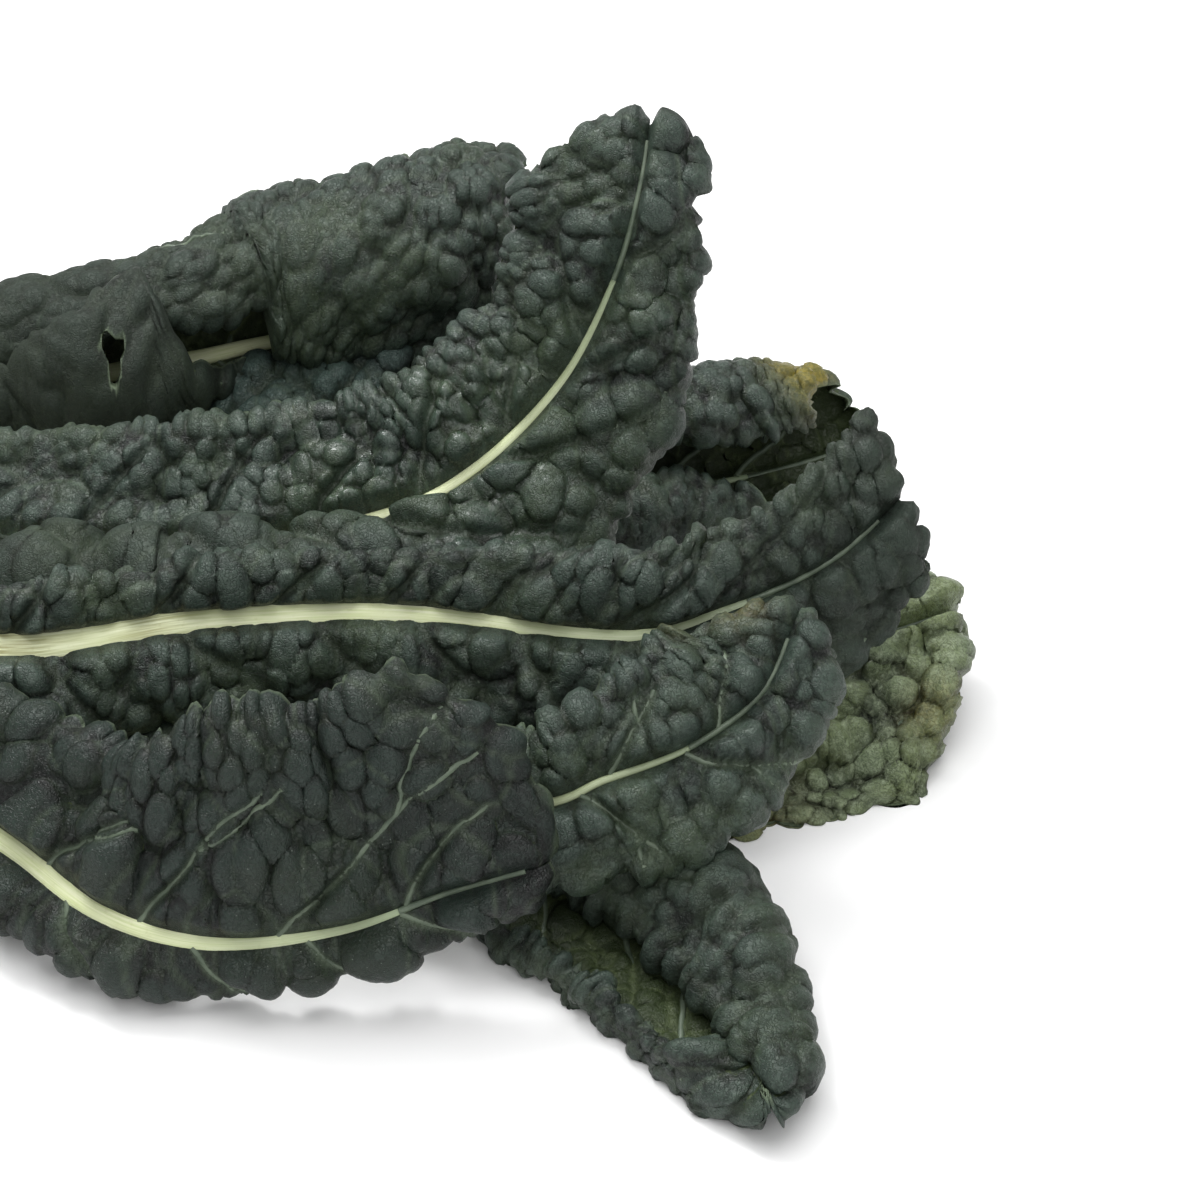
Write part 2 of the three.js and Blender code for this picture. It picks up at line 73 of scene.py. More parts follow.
LEAVES = [
    dict(name="leaf_tall", seed=3, start=0.17, tip=0.8,
         rows=[
             [[-335, -14, 33], [0, -0.2, 1], [0, 0, 0], [0, 0, 0]],
             [[-262, -20, 46], [0, -0.2, 1], [14, 30, -40], [14, 20, 0]],
             [[-188, -33, 48], [0, -0.2, 1], [34, 50, -120], [36, 20, 10]],
             [[-128, -37, 48], [0, -0.3, 1], [38, 50, -120], [40, 20, 10]],
             [[-69, -32, 58], [0, -0.4, 1], [40, 30, -80], [38, 20, 0]],
             [[-39, -23, 70], [-0.1, -0.5, 0.9], [44, 0, -40], [38, 20, -20]],
             [[-12, -7, 92], [-0.35, -0.7, 0.6], [38, 0, -50], [36, 15, -40]],
             [[4, 6, 120], [-0.4, -0.8, 0.4], [28, -5, -50], [38, 10, -50]],
             [[12, 21, 142], [-0.35, -0.85, 0.35], [20, -5, -50], [46, 10, -50]],
             [[16, 45, 158], [-0.2, -0.9, 0.35], [19, -5, -50], [52, 10, -50]],
         ]),
    dict(name="leaf_long", seed=5, start=0.12, tip=0.3, fan=[[0, -0.12], [0, 0.8]],
         rows=[
             [[-335, -42, 33], [0, -0.2, 1], [0, 0, 0], [0, 0, 0]],
             [[-262, -66, 45], [0, -0.3, 1], [3, 20, 0], [3, 20, 0]],
             [[-178, -92, 55], [0, -0.5, 0.9], [26, -10, -60], [26, 60, -130]],
             [[-119, -82, 57], [0, -0.5, 0.9], [28, -15, -60], [26, 60, -130]],
             [[-60, -76, 55], [0, -0.5, 0.9], [30, -20, -50], [28, 60, -120]],
             [[6, -86, 54], [0, -0.5, 0.9], [30, -20, -50], [30, 50, -90]],
             [[39, -78, 58], [0, -0.55, 0.85], [34, -20, -60], [26, 45, -70]],
             [[69, -66, 66], [-0.1, -0.6, 0.8], [34, -20, -50], [30, 35, -50]],
             [[92, -51, 80], [-0.3, -0.7, 0.7], [22, -20, -50], [30, 20, -30]],
         ]),
    dict(name="leaf_back", seed=7, start=0.15, tip=0.4, fold=[[0, 1, 1.1], [0, 1, 1.2]],
         rows=[
             [[-330, 8, 20], [0, 0.2, -1], [0, 0, 0], [0, 0, 0]],
             [[-262, 52, 22], [0, 0.3, -1], [10, -20, 0], [8, -20, 0]],
             [[-210, 78, 27], [0, 0.3, -1], [76, -10, -215], [55, 3, -155]],
             [[-172, 87, 32], [0, 0.3, -1], [74, -10, -220], [84, 3, -172]],
             [[-145, 94, 33], [0, 0.3, -1], [84, -10, -222], [40, 0, -130]],
             [[-116, 108, 32], [0, 0.3, -1], [104, -10, -236], [12, -10, -60]],
             [[-76, 118, 33], [0, 0.3, -1], [136, -10, -262], [22, -40, -80]],
             [[-44, 128, 35], [0, 0.3, -1], [140, -10, -258], [26, -40, -90]],
             [[-12, 138, 38], [0, 0.3, -1], [116, -10, -235], [26, -30, -70]],
         ]),
    dict(name="leaf_low", seed=11, start=0.14, tip=0.8,
         rows=[
             [[-328, 20, 7], [0, -0.1, 1], [0, 0, 0], [0, 0, 0]],
             [[-255, 36, 7], [0, -0.1, 1], [3, 20, 0], [3, 20, 0]],
             [[-201, 60, 13], [0, -0.2, 1], [24, 10, -30], [24, 20, -30]],
             [[-157, 64, 13], [0, -0.2, 1], [26, 10, -30], [24, 20, -60]],
             [[-105, 63, 26], [0, -0.2, 1], [16, 25, 0], [26, 20, -45]],
             [[-60, 68, 29], [0, -0.2, 1], [16, 25, 0], [32, 24, -45]],
             [[-14, 80, 25], [0, -0.2, 1], [16, 10, 0], [28, 20, -45]],
         ]),
    dict(name="leaf_rolled", seed=13, start=0.2, tip=0.35, fold=[[0, 1, 1.1], [0.3, 0.9, 1]],
         rows=[
             [[-322, -12, 2], [0, 0.1, -1], [0, 0, 0], [0, 0, 0]],
             [[-240, 6, 3], [0, 0.1, -1], [3, 0, 0], [3, 0, 0]],
             [[-150, 16, 4], [0, 0.1, -1], [16, -10, -60], [16, -10, -60]],
             [[-60, 28, 4], [0, 0.2, -1], [30, -10, -90], [22, -10, -80]],
             [[0, 47, 5], [0, 0.2, -1], [64, -10, -180], [66, -8, -190]],
             [[35, 56, 6], [0, 0.2, -1], [83, -10, -225], [56, -8, -190]],
             [[63, 64, 8], [0, 0.2, -1], [79, -10, -225], [16, -20, -70]],
             [[92, 70, 14], [0, 0.2, -1], [56, -10, -200], [14, -10, -40]],
         ]),
    dict(name="leaf_right", seed=17, start=0.2, tip=0.8, fan=[[0, -0.15], STRAIGHT],
         rows=[
             [[-325, -45, 6.6], [0, 0, 1], [0, 0, 0], [0, 0, 0]],
             [[-240, -58, 5.8], [0, 0, 1], [3, 0, 0], [3, 0, 0]],
             [[-150, -68, 6], [0, -0.1, 1], [16, 0, 0], [16, 0, 0]],
             [[-60, -74, 8], [0, -0.1, 1], [26, 0, -10], [24, 0, -10]],
             [[6, -76, 14], [0, -0.2, 1], [44, -5, -20], [32, 0, -20]],
             [[63, -58, 18], [0, -0.35, 0.9], [56, -5, -15], [34, 5, -40]],
             [[85, -51, 24], [0.1, -0.35, 0.9], [56, 0, -15], [34, 5, -40]],
             [[115, -38, 26], [0.1, -0.35, 0.9], [44, 0, -15], [34, 5, -40]],
         ]),
    dict(name="leaf_curl", seed=19, start=0.2, tip=0.8,
         rows=[
             [[-335, -60, 20], [0, -0.1, 1], [0, 0, 0], [0, 0, 0]],
             [[-250, -82, 21], [0, -0.1, 1], [3, 0, 0], [3, 0, 0]],
             [[-170, -98, 23], [0, -0.1, 1], [14, 10, 0], [7, 10, 0]],
             [[-95, -121, 30], [0, -0.3, 1], [18, 0, -20], [7, 20, 0]],
             [[-24, -148, 42], [0, -0.6, 0.8], [22, 0, -30], [18, 20, 0]],
             [[2, -146, 50], [0, -0.6, 0.8], [28, -4, -25], [22, 20, -10]],
             [[27, -137, 55], [-0.1, -0.65, 0.75], [28, -4, -30], [30, 15, -20]],
             [[47, -121, 62], [-0.3, -0.7, 0.6], [22, -10, -50], [34, 10, -30]],
             [[58, -100, 76], [-0.4, -0.75, 0.5], [14, -10, -50], [34, 10, -30]],
         ]),
    dict(name="leaf_front", seed=23, start=0.1, tip=0.6, fan=[STRAIGHT, [-1, 0.35]],
         rows=[
             [[-340, -90, 20], [0, -0.3, 1], [0, 0, 0], [0, 0, 0]],
             [[-270, -108, 28], [0, -0.4, 0.9], [3, 0, 0], [3, 0, 0]],
             [[-213, -124, 34], [0, -0.6, 0.8], [20, -20, -40], [20, 10, 10]],
             [[-172, -147, 28], [0, -0.7, 0.7], [23, -20, -60], [26, 15, 5]],
             [[-140, -173, 24], [0, -0.7, 0.7], [21, -20, -70], [44, 15, 5]],
             [[-108, -183, 22], [0, -0.75, 0.65], [20, -20, -80], [64, 15, 5]],
             [[-72, -182, 26], [0, -0.75, 0.65], [20, -20, -80], [62, 15, 5]],
             [[-41, -177, 36], [0.1, -0.7, 0.7], [24, -20, -80], [62, 15, 0]],
             [[-12, -175, 45], [0.2, -0.6, 0.7], [24, -20, -60], [60, 10, -20]],
         ]),
    dict(name="leaf_under", seed=29, start=0.22, tip=0.9, fold=[[0.22, 0.7, 1], [0.35, 0.8, 1]],
         rows=[
             [[-330, -75, 2], [0, 0.1, -1], [0, 0, 0], [0, 0, 0]],
             [[-240, -90, 2], [0, 0.1, -1], [3, 0, 0], [3, 0, 0]],
             [[-150, -106, 2], [0, 0.1, -1], [12, -10, -40], [12, -10, -40]],
             [[-48, -124, 3], [0, 0.2, -1], [20, -30, -60], [24, 0, -60]],
             [[-13, -138, 3], [0.1, 0.2, -1], [56, -10, -185], [50, 0, -150]],
             [[18, -163, 3], [0.1, 0.2, -1], [70, -10, -198], [58, 0, -165]],
             [[34, -192, 3], [0.1, 0.2, -1], [52, -10, -195], [48, 0, -160]],
             [[42, -216, 3], [0.1, 0.2, -1], [38, -10, -180], [36, 0, -145]],
             [[47, -237, 5], [0.1, 0.2, -1], [26, -10, -150], [28, 0, -120]],
         ]),
]

# How each leaf looks, with hand 1 for the right half and -1 for the left.
# blister: mean width in mm of a blister on the right and the left half. lump: of the cushions
# that carry them. puff: height of a blister for its width. vein: how strongly side veins stand
# out. finish: its material. stout: width of its rib. greener: how much sooner the rib greens.
# drawn: how far the blisters are drawn out across, and over what distance from the rib.
# calm, large, shaded, wet, yellow: spots with flatter or wider blisters, or darkened by painted shade,
# wet or withered: (hand, share of the length, mm from the rib, radius in mm, strength).
# raised: bulges, (hand, share, mm from the rib, reach along, reach across, mm).
# torn: where a margin is torn back, (hand, [(share, share of the width left)]).
# hole: (hand, share, mm from the rib, half length, half width).
# ledge: a torn fold that stands up beyond a share, (hand, share, mm).
# opened: where a half uncurls, (hand, share, how far).
# shut: over how much of its end a rolled leaf is drawn together, and how far off the rib.
# stain: bruises of the rib, (share, spread, strength).
LOOKS = {
    "leaf_tall": dict(blister=(9, 7.5), lump=22, puff=0.6, vein=0.3, finish="dark",
                      calm=[(-1, 0.3, 20, 60, 0.5)], large=[(1, 0.34, 30, 95, 1.0)],
                      torn=[(1, [(0, 1.3), (0.36, 1.25), (0.5, 1.05), (0.6, 1), (1, 1)])],
                      raised=[(1, 0.32, 15, 85, 12, 9.0), (1, 0.52, 12, 38, 11, 7.5)],
                      stout=0.85, shaded=[(1, 0.36, 20, 105, 0.55)],
                      wet=[(-1, 0.62, 14, 34, 1.0), (-1, 0.72, 14, 26, 1.0), (1, 0.7, 16, 18, 1.0),
                           (1, 0.86, 14, 14, 0.8)]),
    "leaf_long": dict(blister=(6.6, 6.2), lump=17, puff=0.62, vein=0.3, drawn=(6, 12), finish="dark",
                      stout=1.35, shaded=[(-1, 1.0, 22, 60, 0.7), (1, 1.0, 22, 60, 0.7)],
                      torn=[(-1, [(0, 0.62), (0.5, 0.62), (0.65, 0.72), (0.8, 0.95), (1, 1)])],
                      stain=[(0.36, 0.05, 0.8), (0.47, 0.03, 0.5)],
                      wet=[(1, 0.36, 16, 22, 0.8), (-1, 0.96, 14, 10, 0.7)]),
    "leaf_back": dict(blister=(8, 10), lump=19, puff=0.56, vein=0.7, finish="dark",
                      calm=[(-1, 0.44, 40, 75, 0.55), (1, 0.36, 60, 75, 0.8), (1, 0.72, 96, 20, 0.8)],
                      shaded=[(-1, 0.42, 40, 110, 1.0), (1, 0.3, 50, 120, 1.0)],
                      torn=[(1, [(0, 1.1), (0.654, 1.06), (0.657, 1.2), (1, 1.14)]),
                            (-1, [(0, 1), (0.5, 1.05), (0.535, 1.25), (0.56, 1.4), (0.585, 0.8),
                                  (0.62, 0.65), (0.7, 0.9), (1, 0.5)])],
                      ledge=(1, 0.656, 3.5), raised=[(-1, 0.54, 48, 30, 26, 8.0)],
                      hole=[(1, 0.86, 62, 5.0, 4.5), (-1, 0.525, 70, 3.0, 7.5)]),
    "leaf_low": dict(blister=(8, 8), lump=18, puff=0.6, vein=0.3, finish="blue",
                     raised=[(-1, 0.68, 26, 26, 26, 4.0)],
                     torn=[(-1, [(0, 1), (0.5, 1), (0.6, 1.4), (0.78, 1.4), (0.85, 1), (1, 1)])]),
    "leaf_rolled": dict(blister=(9, 6.5), lump=18, puff=0.62, vein=0.6, finish="dark",
                        torn=[(-1, [(0, 1), (0.83, 1), (0.87, 0.8), (0.9, 1.0), (0.93, 1.8), (1, 1.8)])],
                        opened=[(-1, 0.89, 1.3)],
                        yellow=[(1, 0.97, 50, 15, 1.0), (1, 0.99, 68, 12, 1.0)]),
    "leaf_right": dict(blister=(9, 8.5), lump=19, puff=0.85, vein=0.3, finish="olive",
                       yellow=[(1, 0.8, 52, 20, 0.3), (1, 0.95, 30, 10, 0.3)]),
    "leaf_curl": dict(blister=(6, 6), lump=17, puff=0.72, vein=0.7, finish="dark", stout=0.7,
                      yellow=[(-1, 0.99, 18, 9, 0.35), (-1, 0.93, 34, 7, 0.35)]),
    "leaf_front": dict(blister=(9, 10), lump=22, puff=0.5, vein=0.9, drawn=(15, 22), finish="deep",
                       torn=[(1, [(0, 0.84), (0.78, 0.84), (0.9, 0.66), (1, 0.55)]),
                             (-1, [(0, 1.3), (0.42, 1.35), (0.5, 1.3), (0.6, 1.05), (1, 1)])]),
    "leaf_under": dict(blister=(8, 6.5), lump=19, puff=0.6, vein=0.6, finish="dark", greener=0.2,
                       shaded=[(1, 0.7, 30, 90, 0.5)],
                       torn=[(-1, [(0, 1), (0.6, 1), (0.66, 0.7), (0.9, 0.76), (0.96, 1), (1, 1)]),
                             (1, [(0, 1.1), (0.7, 1.08), (0.9, 1.04), (1, 1)])],
                       shut=(20, 9)),
}


# ---- Small helpers ----
def smooth(x, low, high):
    t = np.clip((x - low) / (high - low), 0, 1)
    return t * t * (3 - 2 * t)


def unit(v):
    return v / np.linalg.norm(v, axis=-1, keepdims=True)


def spline(points, t):
    """Uniform Catmull-Rom curve through the points, t from 0 to 1."""
    t = np.clip(t, 0, 1) * (len(points) - 1)
    i = np.minimum(t.astype(int), len(points) - 2)
    f = (t - i)[:, None]
    held = np.vstack([2 * points[0] - points[1], points, 2 * points[-1] - points[-2]])
    a, b, c, d = held[i], held[i + 1], held[i + 2], held[i + 3]
    into, out = (c - a) / 2, (d - b) / 2
    return b + into * f + (3 * (c - b) - 2 * into - out) * f**2 + (2 * (b - c) + into + out) * f**3


def rib_scale(u):
    return RIB_END_SIZE + (1 - RIB_END_SIZE) * np.clip(1 - u / RIB_END, 0, 1) ** 0.8


def metres(points):
    return (points - CENTRE) * MM


# ---- A leaf's course and the surface of its halves ----
class Leaf:
    def __init__(self, name, seed, start, tip, rows, fold=(EVEN, EVEN), fan=(STRAIGHT, STRAIGHT)):
        self.name, self.seed, self.start, self.tip = name, seed, start, tip
        self.fold, self.fan = fold, fan
        self.looks = LOOKS[name]
        self.rows = np.array([sum(row, []) for row in rows], float)
        self.shares = np.linspace(0, 1, 401)
        path = spline(self.rows[:, :3], self.shares)
        steps = np.linalg.norm(np.diff(path, axis=0), axis=1)
        self.run = np.concatenate([[0], np.cumsum(steps)])
        self.length = self.run[-1]

    def frame(self, u):
        """At share u of the length: row values, along, up from the upper face, right."""
        t = np.interp(u * self.length, self.run, self.shares)
        row = spline(self.rows, t)
        step = 1e-3
        ahead = spline(self.rows[:, :3], np.minimum(t + step, 1))
        along = unit(ahead - spline(self.rows[:, :3], np.maximum(t - step, 0)))
        face = row[:, 3:6]
        up = unit(face - (face * along).sum(1, keepdims=True) * along)
        return row, along, up, np.cross(along, up)

    def width(self, u, hand):
        row = self.frame(np.atleast_1d(u))[0]
        begun = np.clip((u - self.start) / BLADE_START, 0, 1) ** 0.7
        return np.maximum(row[:, 6 if hand > 0 else 9] * begun, NARROWEST_HALF)

    def tip_share(self, hand):
        return self.tip * self.rows[-1, 6 if hand > 0 else 9] / self.length

    def lean(self, u, hand):
        low, high = self.fan[0 if hand > 0 else 1]
        return (low + (high - low) * u) * np.clip((u - self.start) / 0.1, 0, 1)

    def surface(self, u, v, hand):
        """Point, normal, along and outward directions, and width, at share v across a half."""
        row, along, up, right = self.frame(u)
        column = 6 if hand > 0 else 9
        width = self.width(u, hand)
        lift = np.radians(row[:, column + 1])
        turn = np.radians(row[:, column + 2]) * np.minimum(1, width / TIGHTEST)
        for side, share, opened in self.looks.get("opened", ()):
            if side == hand:
                turn = turn * (1 - opened * smooth(u, share - 0.03, share + 0.03))
        begin, end, gather = self.fold[0 if hand > 0 else 1]

        def angle(share):
            return lift + turn * np.clip((share - begin) / (end - begin), 0, 1) ** gather

        slot = np.clip((RIB_END + 0.03 - u) / 0.03, 0, 1)
        clear = smooth(v * width, 0, 5)   # the blade grows out of the rib's side
        out = RIB_HALF_WIDTH * rib_scale(u) * slot * (0.7 + 0.3 * clear) + RIB_GAP * (slot > 0) * clear
        rise = np.zeros_like(out)
        for i in range(TURN_STEPS):
            a = angle((i + 0.5) / TURN_STEPS * v)
            out = out + np.cos(a) * width * v / TURN_STEPS
            rise = rise + np.sin(a) * width * v / TURN_STEPS
        point = (row[:, :3] + right * (hand * out)[:, None] + up * rise[:, None]
                 + along * (self.lean(u, hand) * width * v)[:, None])
        turned = angle(v)[:, None]
        normal = -hand * np.sin(turned) * right + np.cos(turned) * up
        outward = hand * np.cos(turned) * right + np.sin(turned) * up
        return point, normal, along, outward, width


# ---- Flat patterns on a half: (along, across) in millimetres ----
def scatter(rng, size, spacing):
    """Random points of a flat rectangle, spacing(across) apart, each with its spacing."""
    middle = spacing(np.array([size[1] / 3]))[0]
    count = int(14 * (size[0] + 20) * (size[1] + 12) / middle**2)
    x = rng.uniform(-10, size[0] + 10, count)
    y = rng.uniform(-6, size[1] + 6, count)
    apart = spacing(y) * rng.choice([0.6, 0.75, 0.9, 1.05], count, p=[0.2, 0.3, 0.3, 0.2])
    kept = np.zeros((count, 3))
    n = 0
    for i in range(count):
        near = (kept[:n, 0] - x[i]) ** 2 + (kept[:n, 1] - y[i]) ** 2
        if np.all(near > (0.5 * (kept[:n, 2] + apart[i])) ** 2):
            kept[n] = x[i], y[i], apart[i]
            n += 1
    return kept[:n]


def domes(x, y, seeds):
    """Overlapping round domes, one a seed: for each point the seed whose dome is highest, its
    height for a dome 1 high, that dome's radius, the way out from the seed and how far the
    crease to the next dome is."""
    radius = DOME_REACH * seeds[:, 2]
    room = radius.max() + 1
    highest, height, crease = np.zeros(len(x), int), np.zeros(len(x)), np.zeros(len(x))
    for i in range(0, len(x), 1024):
        part = slice(i, i + 1024)
        close_by = np.flatnonzero((seeds[:, 0] > x[part].min() - room)
                                  & (seeds[:, 0] < x[part].max() + room))
        off = (x[part, None] - seeds[close_by, 0]) ** 2 + (y[part, None] - seeds[close_by, 1]) ** 2
        left = radius[close_by] ** 2 - off
        two = np.argpartition(left, -2, axis=1)[:, -2:]
        pair = np.take_along_axis(left, two, 1)
        highest[part] = close_by[two[np.arange(len(two)), pair.argmax(1)]]
        height[part] = np.maximum(pair.max(1), 0)
        crease[part] = (pair.max(1) - np.maximum(pair.min(1), 0)) / 2
    wide = radius[highest]
    way = np.stack([x, y], 1) - seeds[highest, :2]
    way /= np.linalg.norm(way, axis=1, keepdims=True) + 1e-6
    return highest, np.sqrt(height) / wide, wide, way, crease / wide


def line_distance(x, y, lines):
    """Distance from each point to the nearest of the flat lines, with that line's fading."""
    best, fade = np.full(len(x), 1e3), np.zeros(len(x))
    for line in lines:
        for (ax, ay, _), (bx, by, strength) in zip(line[:-1], line[1:]):
            near = (x > min(ax, bx) - 12) & (x < max(ax, bx) + 12) & (y > ay - 12) & (y < by + 12)
            if not near.any():
                continue
            px, py = x[near] - ax, y[near] - ay
            dx, dy = bx - ax, by - ay
            t = np.clip((px * dx + py * dy) / (dx * dx + dy * dy), 0, 1)
            d = np.hypot(px - t * dx, py - t * dy)
            index = np.flatnonzero(near)
            closer = d < best[index]
            best[index[closer]] = d[closer]
            fade[index[closer]] = strength
    return best, fade


class Half:
    """One half of a blade: its side veins, its blisters and the relief they make."""

    def __init__(self, leaf, hand):
        self.leaf, self.hand = leaf, hand
        rng = np.random.default_rng(100 * leaf.seed + (1 if hand > 0 else 2))
        self.across = max(leaf.width(np.linspace(leaf.start, 1, 30), hand)) * 1.15
        self.veins = self.side_veins(rng)
        blister, lump = leaf.looks["blister"][0 if hand > 0 else 1], leaf.looks["lump"]
        room = (leaf.length, self.across)
        self.blisters = scatter(rng, room, lambda y: blister * (1.3 - 0.5 * np.clip(y / 36, 0, 1)))
        self.lumps = scatter(rng, room, lambda y: lump * (1.1 - 0.3 * np.clip(y / 40, 0, 1)))
        self.beads = scatter(rng, room, lambda y: blister * (0.55 - 0.15 * np.clip(y / 36, 0, 1)))
        self.tall = rng.uniform(0.65, 1.15, len(self.blisters))
        self.ragged = rng.uniform(-1, 1, 400)

    def side_veins(self, rng):
        leaf, veins = self.leaf, []
        x = leaf.start * leaf.length + rng.uniform(6, 20)
        while x < 0.9 * leaf.length:
            share = x / leaf.length
            reach = leaf.width(share, self.hand)[0] * rng.uniform(0.7, 0.9)
            heading = math.radians(62 - 22 * share + rng.uniform(-6, 6))
            veins += self.grown(rng, x, 0.0, heading, reach, 1.0, rng.uniform() < 0.75)
            x += rng.uniform(30, 46) * (1.1 - 0.3 * share)
        return veins

    def grown(self, rng, x, y, heading, reach, strength, forks):
        """One side vein as flat points with its strength, and the branches it forks into."""
        line, branches = [(x, y, strength)], []
        fork = rng.uniform(0.4, 0.6) * reach
        while y < reach and strength > 0.08:
            heading += math.radians(rng.uniform(-9, 8) - 0.8)
            heading = min(max(heading, 0.5), 1.9)
            x, y = x + VEIN_STEP * math.cos(heading), y + VEIN_STEP * math.sin(heading)
            if x > 0.95 * self.leaf.length:
                break
            strength *= 0.94
            line.append((x, y, strength))
            if forks and y > fork:
                forks = False
                turn = math.radians(rng.uniform(32, 48)) * rng.choice([-1, 1])
                branches = self.grown(rng, x, y, heading + turn, reach, strength * 0.75, False)
        return ([line] if len(line) > 2 else []) + branches

    def reach(self, u):
        """How much of the width is left where the margin is torn back."""
        left = np.ones(len(u))
        for hand, steps in self.leaf.looks.get("torn", ()):
            if hand == self.hand:
                left = np.interp(u, *np.array(steps).T)
                left *= 1 + 0.02 * np.interp(u * RAGGED, np.arange(400), self.ragged)
        return left

    def relief(self, x, y):
        """Height, how domed as painted shade and light for the colour (low in creases and vein grooves,
        high on blister tops), nearness of a vein, and the blister's sideways swell.
        """
        looks = self.leaf.looks
        large = spots(self.leaf, self.hand, x, y, "large")
        calm = 1 - spots(self.leaf, self.hand, x, y, "calm")
        drawn, over = looks.get("drawn", (3, 12))
        level = x + self.leaf.lean(x / self.leaf.length, self.hand) * y
        wander = 1.1 * np.sin(y / 4.3 + x / 23) + 0.7 * np.sin(x / 3.1)
        across = y - drawn * (1 - np.exp(-y / over)) + 0.8 * np.sin(x / 4.6 + 1)
        which, full, wide, way, crease = domes(level + wander, across, self.blisters)
        _, full_lump, wide_lump, _, crease_lump = domes(level - wander, across, self.lumps)
        _, full_bead, wide_bead, _, _ = domes(level + 0.6 * wander, across, self.beads)
        off, strength = line_distance(x, y, self.veins)
        strong = np.clip(strength * 1.4, 0, 1)
        groove = 1 - 0.8 * strong * np.exp(-(off / 1.7) ** 2)
        rim = smooth(y, 0.0, 4.0)
        height = looks["puff"] * calm * (1 - 0.85 * large) * wide * full * self.tall[which]
        height += 0.4 * looks["puff"] * calm * (1 - large) * wide_bead * full_bead * (0.3 + 0.7 * full)
        height += 0.4 * (0.45 + 0.55 * calm) * (1 + 0.4 * large) * wide_lump * full_lump
        # dome_shading: painted shade and light, darker in creases and along vein grooves, paler on
        # blister tops, evened out in calm spots
        shade = np.clip(smooth(full, 0.35, 0.95) * (0.4 + 0.6 * smooth(full_lump, 0.3, 0.9))
                        * (0.8 + 0.2 * full_bead), 0, 1)
        dome_shading = shade * groove
        dome_shading = dome_shading + (0.6 - dome_shading) * 0.5 * (1 - calm)
        swell = (0.3 * wide * full * (1 - full) * 4 * looks["puff"] * calm * rim * groove)[:, None] * way
        vein = looks["vein"] * strong * np.exp(-(off / 0.8) ** 2)
        vein = np.maximum(vein, 0.35 * np.exp(-(crease_lump / 0.6) ** 2))
        vein = np.maximum(vein, 0.2 * np.exp(-(crease / 0.4) ** 2))
        return height * groove * rim, dome_shading, vein, swell

    def folded(self, x, y):
        """How far the blade stands up past a torn fold or over a bulge."""
        up = np.zeros(len(x))
        hand, share, tall = self.leaf.looks.get("ledge", (0, 0, 0))
        if hand == self.hand:
            past = x - share * self.leaf.length + 1.5 * np.sin(y / 9) + 0.6 * np.sin(y / 2.3)
            up += tall * smooth(past, -0.5, 0.5) * (1 - smooth(past, 4, 50))
        for hand, share, middle, along, across, tall in self.leaf.looks.get("raised", ()):
            if hand == self.hand:
                far = np.hypot((x - share * self.leaf.length) / along, (y - middle) / across)
                up += tall * np.exp(-far**2)
        return up

    def place(self, u, v, s):
        """The swollen surface at shares u along and v across, s being u measured back from a
        drawn-out tip: middle points, normals and the patterns on it."""
        leaf = self.leaf
        point, normal, along, outward, width = leaf.surface(u, v, self.hand)
        x, y = u * leaf.length, v * width
        height, dome_shading, vein, swell = self.relief(x, y)
        if "shut" in leaf.looks:
            run, off = leaf.looks["shut"]
            row, _, up, _ = leaf.frame(u)
            drawn = (0.9 * (1 - smooth((1 - s) * leaf.length, 0, run)) ** 2)[:, None]
            point = point + (row[:, :3] - up * off - point) * drawn
            normal = unit(normal + along * 2 * drawn)
        begun = smooth(u, leaf.start, leaf.start + 0.05)
        small = np.clip(width * self.reach(u) / 17, 0.15, 1)
        side, end = width * np.maximum(self.reach(u) - v, 0), (1 - s) * leaf.length
        edge = np.minimum(side, end)
        ahead = (1 / (1 + np.exp(np.clip((end - side) / 2, -30, 30))))[:, None]
        out = unit(outward * (1 - ahead) + along * ahead)
        bent = np.clip((MARGIN - edge) / MARGIN_ROLL, 0, 1.8) * small
        shift = (MARGIN_ROLL * (np.sin(bent) - bent)
                 + 3.4 * (dome_shading - 0.4) * (1 - smooth(edge, 0, 8)) * small)
        drop = MARGIN_ROLL * (1 - np.cos(bent))
        turned = normal * np.cos(bent)[:, None] + out * np.sin(bent)[:, None]
        rise = height * begun * small * (0.5 + 0.5 * smooth(edge, 0, 7)) + self.folded(x, y)
        middle = (point + out * shift[:, None] - normal * drop[:, None] + turned * rise[:, None]
                  + (along * swell[:, :1] + outward * swell[:, 1:]) * (begun * small)[:, None])
        return middle, turned, rise, edge, dome_shading, vein, (x, y)


# ---- Meshes ----
def mesh_object(name, points, quads, patterns=None):
    """A mesh from millimetre points and four-cornered faces, with point attributes."""
    mesh = bpy.data.meshes.new(name)
    mesh.vertices.add(len(points))
    mesh.vertices.foreach_set("co", metres(points).astype(np.float32).ravel())
    mesh.loops.add(quads.size)
    mesh.loops.foreach_set("vertex_index", quads.astype(np.int32).ravel())
    mesh.polygons.add(len(quads))
    mesh.polygons.foreach_set("loop_start", np.arange(0, quads.size, 4, dtype=np.int32))
    mesh.polygons.foreach_set("use_smooth", np.ones(len(quads), bool))
    for pattern, values in (patterns or {}).items():
        layer = mesh.attributes.new(pattern, "FLOAT", "POINT")
        layer.data.foreach_set("value", values.astype(np.float32))
    mesh.update(calc_edges=True)
    mesh.validate()
    made = bpy.data.objects.new(name, mesh)
    bpy.context.scene.collection.objects.link(made)
    return made


